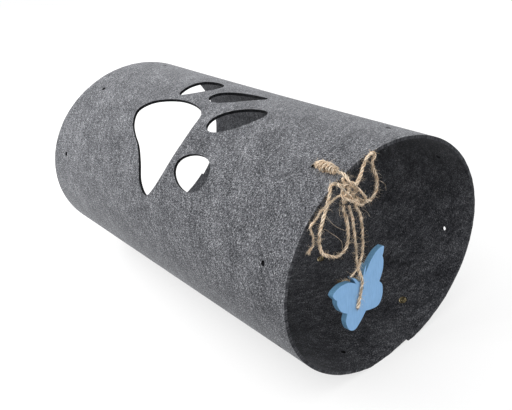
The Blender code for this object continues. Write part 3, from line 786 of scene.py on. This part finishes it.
TAIL = [
    (-7.7, 2.5, 0.5), (-11.4, 4.2, -0.4), (-15.7, 6.5, -3.0), (-28.7, 9.0, -9.2), (-33.7, 9.5, -14.3),
    (-42.4, 9.5, -19.7), (-40.2, 9.5, -31.2), (-42.2, 9.5, -39.8), (-45.7, 9.5, -42.4),
]


def knot_line():
    """An overhand knot, the same way round as in the frame."""
    t = np.linspace(KNOT_START, KNOT_START + 2 * math.pi - KNOT_OPENING, KNOT_POINTS)
    out = KNOT_RADIUS + KNOT_SWELL * np.cos(3 * t)
    way = 2 * t + math.pi / 2
    line = np.stack([out * np.cos(way), KNOT_SWELL * np.sin(3 * t), out * np.sin(way)], axis=1)
    return even(line + tuple(KNOT))


LINES.update({
    "bow_knot": knot_line(), "knot_band": from_knot(KNOT_BAND), "bow_left_loop": from_knot(LEFT_LOOP),
    "bow_right_loop": from_knot(RIGHT_LOOP), "bow_tail": from_knot(TAIL),
})
print("Lines of twine so far:", len(LINES))

# %% [markdown]
# ## The strands and the butterfly's tie
#
# Two strands hang from the knot. Their ends are tied through a hole in the butterfly and run down
# its face, and a sling goes over its shoulder. Two short ends stick out beside it, which the frame
# leaves out. The sling is laid out on the butterfly itself, as how far behind and how far above
# its origin each point lies, and the butterfly's place, turn and tilt carry it along.

# %% The strands and the butterfly's tie
LEFT_STRAND = [
    (-3.5, -2.0, -10.4), (-3.4, -2.0, -13.4), (-1.2, -2.0, -24.0), (0.2, -2.0, -40.0),
    (1.0, -2.0, -56.0), (0.9, -2.0, -70.0), (0.7, -2.0, -77.4),
]
RIGHT_STRAND = [
    (3.6, -2.0, -10.5), (4.2, -2.0, -13.5), (8.5, -2.0, -24.0), (10.5, -2.0, -34.0),
    (10.6, -2.0, -46.0), (10.3, -2.0, -58.0), (8.2, -2.0, -69.0), (5.0, -2.0, -75.0),
    (4.3, -2.0, -77.4),
]
TIE_ON_FACE = [
    (2.4, -2.0, -77.8), (2.4, -2.0, -82.0), (3.4, -2.1, -88.0), (5.6, -2.3, -97.5),
    (3.8, -2.6, -105.3), (0.9, -3.0, -112.0), (-4.2, -3.8, -123.6),
]
SLING = [
    (0.4, 0.0), (3.0, 0.0), (6.6, 0.3), (8.3, 3.6), (8.4, 8.0), (6.2, 11.4), (3.0, 11.8), (0.3, 11.7),
]
SHORT_END = [
    (3.2, -5.0, -74.0), (-2.3, -6.0, -77.3), (-7.5, -7.0, -78.7), (-13.5, -7.0, -81.3),
]
BACK_END = [
    (8.5, 8.5, -101.0), (1.0, 8.0, -98.5), (-8.0, 6.2, -94.5), (-15.0, 5.5, -91.2),
]
BUTTERFLY_PLACE, BUTTERFLY_TURN, BUTTERFLY_TILT = Vector((0.0077, 0.0, -0.1090)), 8, -7
butterfly_frame = (
    Matrix.Translation(KNOT + BUTTERFLY_PLACE)
    @ Matrix.Rotation(math.radians(BUTTERFLY_TURN), 4, "Z")
    @ Matrix.Rotation(math.radians(BUTTERFLY_TILT), 4, "Y")
    @ Matrix.Rotation(math.pi / 2, 4, "X")
)
sling_line = np.array([tuple(butterfly_frame @ Vector((0, up * MM, -behind * MM))) for behind, up in SLING])
LINES.update({
    "strand_left": from_knot(LEFT_STRAND), "strand_right": from_knot(RIGHT_STRAND),
    "butterfly_tie": from_knot(TIE_ON_FACE), "butterfly_sling": even(through(sling_line)),
    "short_end": from_knot(SHORT_END), "back_end": from_knot(BACK_END),
})
for name, line in LINES.items():
    print(f"{name}: {1000 * line_length(line):.0f} mm")

# %% [markdown]
# ## The shape of jute yarn
#
# Garden twine is spun from three rough plies laid together, with one turn in about five of its
# diameters. A smooth tube with a bump would show a straight outline, so each ply is its own small
# tube that winds round the route, uneven in thickness as jute is. Light breaks on the plies and
# the outline is scalloped. Each point keeps how far along the fibres it lies, and how deep.

# %% The shape of jute yarn
# Shares of the yarn's radius, and how much they vary
PLY_RADIUS_SHARE, PLY_REACH_SHARE, PLY_VARIES = 0.49, 0.47, 0.50
YARN_WAVES, PLY_WAVES = (7 * MM, 13 * MM), (1.1 * MM, 2.3 * MM, 5 * MM, 9 * MM)
FLARE_RUN, FIBRE_STRETCH, TURNS_PER_DIAMETER = 7 * MM, 0.12, 0.21


def frames_along(line):
    """The way at each point, and two crossways directions that turn as little as they can."""
    ways = np.gradient(line, axis=0)
    ways /= np.linalg.norm(ways, axis=1, keepdims=True)
    side = np.cross(ways[0], (0.3, 0.2, 1.0))
    sides = []
    for way in ways:
        side = side - way * (side @ way)
        side = side / np.linalg.norm(side)
        sides.append(side)
    sides = np.array(sides)
    return ways, sides, np.cross(ways, sides)


def unevenness(chance, run, waves):
    """A value of -1 to 1 along a run, from random waves that take these lengths for a radian."""
    shifts = chance.uniform(0, 6.28, len(waves))
    return sum(np.sin(run / wave + shift) for wave, shift in zip(waves, shifts)) / len(waves)


def yarn_mesh(name, line, radius, seed, plies=3, sides=8, flare=0.0):
    """Plies laid round a line, each a tube whose thickness wanders. A flare widens the far end."""
    chance = np.random.default_rng(seed)
    _, across, other = frames_along(line)
    run = np.concatenate([[0], np.cumsum(np.linalg.norm(np.diff(line, axis=0), axis=1))])
    slow = unevenness(chance, run, YARN_WAVES)
    near_end = np.clip(1 - (run[-1] - run) / FLARE_RUN, 0, 1)
    fullness = 1 + 0.10 * slow + flare * near_end ** 2
    worker = bmesh.new()
    fibres, depths = [], []
    for ply in range(plies):
        twist = 2 * math.pi * (run * TURNS_PER_DIAMETER / (2 * radius) + ply / plies)
        vary = unevenness(chance, run, PLY_WAVES)
        thick = radius * PLY_RADIUS_SHARE * fullness * (1 + PLY_VARIES * vary)
        reach = (PLY_REACH_SHARE * radius * fullness * (1 + PLY_VARIES * np.roll(vary, 7)))[:, None]
        centre = line + reach * (across * np.cos(twist)[:, None] + other * np.sin(twist)[:, None])
        ring_before = None
        for k, place in enumerate(centre):
            ring = []
            for s in range(sides):
                a = 2 * math.pi * s / sides
                out = across[k] * math.cos(a) + other[k] * math.sin(a)
                ring.append(worker.verts.new(place + out * thick[k]))
                along = run[k] * FIBRE_STRETCH + ply
                fibres.append((along, thick[k] * math.cos(a), thick[k] * math.sin(a)))
                # How deep each point lies, which the jute's colour turns into painted shade between the plies
                depths.append(np.linalg.norm(place + out * thick[k] - line[k]) / radius)
            if ring_before is None:
                worker.faces.new(ring)
            else:
                for s in range(sides):
                    worker.faces.new((ring_before[s], ring_before[s - 1], ring[s - 1], ring[s]))
            ring_before = ring
        worker.faces.new(ring_before)
    mesh = to_mesh(name, worker)
    mesh.attributes.new("fibre", "FLOAT_VECTOR", "POINT").data.foreach_set("vector", np.ravel(fibres))
    mesh.attributes.new("depth", "FLOAT", "POINT").data.foreach_set("value", depths)
    mesh.shade_smooth()
    return mesh


print("Lay of the yarn: a turn in", round(1 / TURNS_PER_DIAMETER, 1), "diameters")

# %% [markdown]
# ## The colour of jute
#
# Jute is a plant fibre, retted and combed, and left in its own colour. Where a place lies deep between the
# plies its colour is darkened to brown, as painted shade for the light that is lost there, and on their
# crowns it is made a little paler, as a painted highlight. Real fibres are a few hundredths of a millimetre
# wide, too fine for the render, so the streaks along them are drawn about half a millimetre wide. The fibres
# shine a little, so it is less matt than the felt.


# %% The colour of jute
def jute_material(name, stops, shift, spun=True):
    """Streaks along the fibres, and if it is spun, painted shade between the plies and a faint painted
    highlight on their crowns.
    """
    made, tree, shader, place = new_material(name)
    place = add_node(tree, "VectorMath", {1: shift}, {0: place}, operation="ADD")
    values = {"Scale": 0.3 / MM, "Detail": 2, "Roughness": 0.5}
    patches = add_node(tree, "TexNoise", values, {"Vector": place})
    shade = add_node(tree, "MapRange", {"To Min": 0.70, "To Max": 1.30}, {"Value": patches})
    values = {"Scale": 1.5 / MM, "Detail": 3, "Roughness": 0.7}
    fine = add_node(tree, "TexNoise", values, {"Vector": place})
    if spun:
        along = add_node(tree, "Attribute", attribute_name="fibre").outputs["Vector"]
        values = {"Scale": 1.8 / MM, "Detail": 3, "Roughness": 0.6}
        streaks = add_node(tree, "TexNoise", values, {"Vector": along})
        fine = weighed(tree, [(fine, 0.35), (streaks, 0.65)])
        # Painted shade between the plies from how deep each point lies, and a faint painted highlight on the
        # crowns
        depth = add_node(tree, "Attribute", attribute_name="depth").outputs["Fac"]
        values = {"From Min": 0.5, "From Max": 0.95, "To Min": 0.30, "To Max": 1.1}
        painted_ply_shade = add_node(tree, "MapRange", values, {"Value": depth})
        shade = add_node(tree, "Math", links={0: shade, 1: painted_ply_shade}, operation="MULTIPLY")
    colour = add_node(tree, "ValToRGB", links={"Fac": fine}, stops=stops)
    shaded = add_node(tree, "VectorMath", links={0: colour, "Scale": shade}, operation="SCALE")
    relief = add_node(tree, "Bump", {"Strength": 0.9, "Distance": 0.30 * MM}, {"Height": fine})
    wire(tree, shader, {
        "Roughness": 0.75, "Specular IOR Level": 0.35, "Sheen Weight": 0.25, "Sheen Roughness": 0.4,
        "Sheen Tint": linear("e9d7b8"),
    }, {"Base Color": shaded, "Normal": relief})
    return made


# Spun natural jute: warm cream crowns with brown lines of painted shade between, so it reads as rope from
# afar
jute = jute_material(
    "natural_jute_twine",
    [(0.40, "8e684a"), (0.455, "d6b692"), (0.515, "f4e1c8"), (0.59, "f9eddb")], (0, 0, 0),
)
# Single combed hairs: nearly white where they catch the light, which lets them glow on the dark
jute_pale = jute_material(
    "natural_jute_loose_hairs",
    [(0.36, "bf9f78"), (0.46, "e6ccaa"), (0.56, "f8e9d2"), (0.66, "fff8ea")], (1, 2, 0), False,
)
# A frayed end in the butterfly's shade: a darker copy of the twine, painted shade that makes it duller and
# browner
jute_painted_shade = jute_material(
    "natural_jute_frayed_end_painted_shade",
    [(0.36, "7c6040"), (0.46, "a78a62"), (0.56, "c9ad80"), (0.66, "e2cda4")], (2, 1, 0),
)
print("Jute finishes:", [m.name for m in (jute, jute_pale, jute_painted_shade)])

# %% [markdown]
# ## All the yarn
#
# The twine is not one thickness: it is thin where it is pulled, fuller in the loops, and thinnest
# at its loose ends. Each was read off the photograph. Two ends open out where they are cut.

# %% All the yarn
# Half of each thickness, in millimetres
USUAL_RADIUS = 1.5
OTHER_RADII = {
    "tie_wraps": 1.2, "knot_band": 1.3, "bow_left_loop": 1.6, "bow_right_loop": 1.6, "bow_tail": 1.1,
    "strand_left": 1.25, "strand_right": 1.25, "butterfly_tie": 1.7, "butterfly_sling": 1.2,
    "short_end": 0.6, "back_end": 0.9,
}
RADII = {name: OTHER_RADII.get(name, USUAL_RADIUS) * MM for name in LINES}
FLARES = {"bow_tail": 0.5, "butterfly_tie": 0.35}
YARN_SEED = 20
yarns = {}
for number, (name, line) in enumerate(LINES.items(), YARN_SEED):
    mesh = yarn_mesh(name, line, RADII[name], number, flare=FLARES.get(name, 0.0))
    # The back end takes the copy of the jute with painted shade, as it lies behind the butterfly
    yarns[name] = mesh_object("yarn_" + name, mesh, jute_painted_shade if name == "back_end" else jute)
print("Yarn faces:", sum(len(o.data.polygons) for o in yarns.values()))

# %% [markdown]
# ## The jute's coat of hairs
#
# Jute is hairy: a coat of short pale hairs stands off the twine all along it, with curly ones a
# few millimetres long among them. They show well against the dark inside of the tunnel. A real
# hair is about a twentieth of a millimetre thick. These are drawn a few times as thick, or they
# would vanish between the pixels.

# %% The jute's coat of hairs
HAIR_KINDS = {
    # Hairs a metre, the longest, radius, curl and first seed
    "coat_": (5000, 1.3 * MM, 0.10 * MM, 0.9, 50),
    "hairs_": (2200, 6.0 * MM, 0.14 * MM, 1.1, 80),
}
SHORTEST_HAIR, HAIR_SEGMENTS = 0.6 * MM, 5
# Turns that lie against one another hide most of their hairs
WOUND, WOUND_SHARE = ("tie_wraps", "bow_knot", "knot_band"), 0.3


def yarn_hairs(name, line, radius, per_metre, longest, thick, curl, seed):
    """Hairs off a line of yarn, leaning along it."""
    chance = np.random.default_rng(seed)
    count = int(line_length(line) * per_metre)
    ways, across, other = frames_along(line)
    pick = chance.integers(0, len(line), count)
    turn = chance.uniform(0, 2 * math.pi, (count, 1))
    out = across[pick] * np.cos(turn) + other[pick] * np.sin(turn)
    way = out + ways[pick] * chance.uniform(-1.1, 1.1, (count, 1))
    way /= np.linalg.norm(way, axis=1, keepdims=True)
    lengths = SHORTEST_HAIR + chance.uniform(0, 1, count) ** 1.4 * longest
    radii = chance.uniform(0.6, 1.0, count) * thick
    root = line[pick] + out * radius * 0.7
    mesh = hair_mesh(name, root, way, lengths, radii, curl, HAIR_SEGMENTS, seed)
    return mesh_object(name, mesh, jute_pale)


hairs = {}
for number, (name, line) in enumerate(LINES.items()):
    share = WOUND_SHARE if name in WOUND else 1.0
    hairs[name] = [
        yarn_hairs(prefix + name, line, RADII[name], per_metre * share, longest, thick, curl, seed + number)
        for prefix, (per_metre, longest, thick, curl, seed) in HAIR_KINDS.items()
    ]
faces = sum(len(piece.data.polygons) for made in hairs.values() for piece in made)
print("Hairs:", faces // (HAIR_SIDES * HAIR_SEGMENTS))

# %% [markdown]
# ## Frayed ends and hairs that have worked loose
#
# Where jute is cut it comes apart into a brush, so each cut end gets a sheaf of hairs that fans out from it.
# A few single hairs have worked loose and hang across the loops. They are few and stand out, so chance won't
# do, and each has a route that is given one by one.

# %% Frayed ends and hairs that have worked loose
FRAYS = {
    # Name, the way it points, how far it spreads, how many hairs, the longest, material and seed
    "bow_tail": ("fray_tail", (-1, 0, -0.9), 0.25, 110, 6 * MM, jute_pale, 71),
    "butterfly_tie": ("fray_tie", (-0.4, -0.1, -1), 0.4, 60, 3 * MM, jute, 72),
    "short_end": ("fray_short", (-1, 0, -0.3), 0.3, 24, 3 * MM, jute, 73),
    "back_end": ("fray_back", (-1, 0, 0.3), 0.45, 90, 6 * MM, jute_painted_shade, 74),
}
FRAY_CURL = 0.5
LOOSE_RADIUS, LOOSE_SEED = 0.20 * MM, 90
LOOSE_HAIRS = [
    [(-31.0, 1.0, -8.0), (-29.5, -4.0, -15.6), (-22.9, -4.0, -23.7), (-13.4, -4.0, -31.2),
     (-8.0, -1.0, -33.0)],
    [(-33.0, 1.0, -23.0), (-28.2, -1.0, -28.5), (-22.9, -3.0, -34.5), (-18.0, -3.5, -42.0),
     (-16.5, -2.0, -50.0)],
    [(-11.7, 1.0, -2.2), (-15.4, -2.0, -7.1), (-17.0, -2.5, -13.5), (-15.0, -2.0, -19.0)],
    [(11.0, -3.0, -20.0), (15.0, -5.0, -24.0), (18.5, -5.0, -31.0)],
    [(44.0, 5.0, -6.0), (48.0, 2.0, -11.0), (47.5, 0.0, -17.0)],
]


def frayed_end(place, name, way, spread, count, longest, material, seed):
    """A brush of hairs where a cut end has come apart."""
    chance = np.random.default_rng(seed)
    ways = np.array(way) / np.linalg.norm(way) + chance.normal(size=(count, 3)) * spread
    ways /= np.linalg.norm(ways, axis=1, keepdims=True)
    roots = np.array(place) + chance.normal(size=(count, 3)) * 0.5 * MM
    lengths = chance.uniform(0.35, 1, count) * longest
    radii = chance.uniform(0.06, 0.11, count) * MM
    mesh = hair_mesh(name, roots, ways, lengths, radii, FRAY_CURL, HAIR_SEGMENTS, seed)
    return mesh_object(name, mesh, material)


for name, values in FRAYS.items():
    hairs[name].append(frayed_end(LINES[name][-1], *values))
for number, route in enumerate(LOOSE_HAIRS):
    mesh = yarn_mesh("loose_hair", from_knot(route), LOOSE_RADIUS, LOOSE_SEED + number, plies=1, sides=4)
    hairs["bow_knot"].append(mesh_object(f"loose_hair_{number + 1}", mesh, jute_pale))
print("Frayed ends:", len(FRAYS), "and loose hairs:", len(LOOSE_HAIRS))

# %% [markdown]
# ## Butterfly
#
# It is cut from 6 mm plywood and painted pale blue with a brush, in one matt coat. The paint is thin, so the
# grain shows in it as faint lines about a millimetre apart, and the cut sides are given a duller, darker blue
# than the faces. Its shape in the frame is right, so it only gets the finish. Faces and sides are one mesh
# there, and are told apart by which way they look.

# %% Butterfly
GRAIN_STRETCH = 0.12
FACE_STOPS = [(0.3, "87b7e6"), (0.5, "8fbfee"), (0.7, "98c6f3")]
SIDE_STOPS = [(0.3, "54809f"), (0.5, "6290b2"), (0.7, "709ec0")]
# Brushed matt paint on plywood: a flat sky blue that a faint grain keeps from looking like plastic
paint, tree, shader, place = new_material("painted_plywood_pale_blue")
stretched = add_node(tree, "Mapping", {"Scale": (1, 1, GRAIN_STRETCH)}, {"Vector": place})
values = {"Scale": 0.9 / MM, "Detail": 3, "Roughness": 0.6}
grain = add_node(tree, "TexNoise", values, {"Vector": stretched})
face_colour, side_colour = (
    add_node(tree, "ValToRGB", links={"Fac": grain}, stops=stops) for stops in (FACE_STOPS, SIDE_STOPS)
)
normal = add_node(tree, "TexCoord").outputs["Normal"]
face_way = butterfly_frame.to_3x3() @ Vector((0, 0, 1))
towards = add_node(tree, "VectorMath", {1: face_way}, {0: normal}, operation="DOT_PRODUCT")
flatness = add_node(tree, "Math", links={0: towards.outputs["Value"]}, operation="ABSOLUTE")
on_face = add_node(tree, "MapRange", {"From Min": 0.55, "From Max": 0.9}, {"Value": flatness})
links = {"Factor": on_face, "A": side_colour, "B": face_colour}
both = add_node(tree, "Mix", links=links, data_type="RGBA").outputs["Result"]
values = {"Scale": 0.09 / MM, "Detail": 2, "Roughness": 0.5}
strokes = add_node(tree, "TexNoise", values, {"Vector": place})
blotch = add_node(tree, "MapRange", {"To Min": 0.93, "To Max": 1.06}, {"Value": strokes})
colour = add_node(tree, "VectorMath", links={0: both, "Scale": blotch}, operation="SCALE")
relief = add_node(tree, "Bump", {"Strength": 0.5, "Distance": 0.05 * MM}, {"Height": grain})
wire(tree, shader, {"Roughness": 0.62}, {"Base Color": colour, "Normal": relief})
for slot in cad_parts["butterfly"].material_slots:
    slot.material = paint
print("Painted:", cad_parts["butterfly"].name)

# %% [markdown]
# ## Press studs
#
# The studs are pressed brass with an antique finish: a dark brown tarnish, rubbed brighter in
# spots of about a millimetre. One noise drives relief, colour and gloss, because the spots that
# stand up are the ones that get rubbed, and they turn paler and smoother. Their shape in the frame
# is right, so they only get the finish.

# %% Press studs
TARNISH_STOPS = [(0.35, "4a4230"), (0.5, "6a6048"), (0.62, "857a5e"), (0.75, "b3a88c")]
# Antiqued brass: a dull brown dot with a few warm glints
brass, tree, shader, place = new_material("antique_brass_rubbed")
values = {"Scale": 1.2 / MM, "Detail": 3, "Roughness": 0.6}
wear = add_node(tree, "TexNoise", values, {"Vector": place})
tarnish = add_node(tree, "ValToRGB", links={"Fac": wear}, stops=TARNISH_STOPS)
gloss = add_node(tree, "MapRange", {"To Min": 0.55, "To Max": 0.38}, {"Value": wear})
relief = add_node(tree, "Bump", {"Strength": 0.3, "Distance": 0.02 * MM}, {"Height": wear})
wire(tree, shader, {"Metallic": 1.0}, {"Base Color": tarnish, "Roughness": gloss, "Normal": relief})
studs = [node for name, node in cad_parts.items() if name.startswith("snap_")]
for node in studs:
    for slot in node.material_slots:
        slot.material = brass
print("Press stud parts:", len(studs))

# %% [markdown]
# ## What stands still
#
# The felt is the body of the tunnel, so it and its stray fibres ride on it. It takes the place of the plain
# solid under it.

# %% What stands still
for piece in (felt, *fuzz):
    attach(piece, "tunnel")
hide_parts("felt_sheet")
print("Felt pieces:", 1 + len(fuzz))

# %% [markdown]
# ## What the twine rides on
#
# The tie stands still with the tunnel, the bow sways on it, the two strands swing under the bow,
# and the butterfly twists at the strands' end. Each length of yarn rides on its body with its own
# hairs, and takes the place of the plain solid under it, where the frame has one.

# %% What the twine rides on
BODIES = {
    "rim_tie": "tunnel", "tie_wraps": "tunnel",
    "bow_knot": "bow", "bow_left_loop": "bow", "bow_right_loop": "bow", "bow_tail": "bow",
    "strand_left": "pendant", "strand_right": "pendant",
    "butterfly_tie": "butterfly", "butterfly_sling": "butterfly",
    "knot_band": "bow", "short_end": "butterfly", "back_end": "butterfly",
}
for name, body in BODIES.items():
    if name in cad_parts:
        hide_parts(name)
    for piece in (yarns[name], *hairs[name]):
        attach(piece, body)
print("Twine pieces:", sum(1 + len(made) for made in hairs.values()))

# %% [markdown]
# Pieces shorter than 30 mm are left out.

# %% [markdown]
# ## Finish

# %% Finish
bpy.context.view_layer.update()
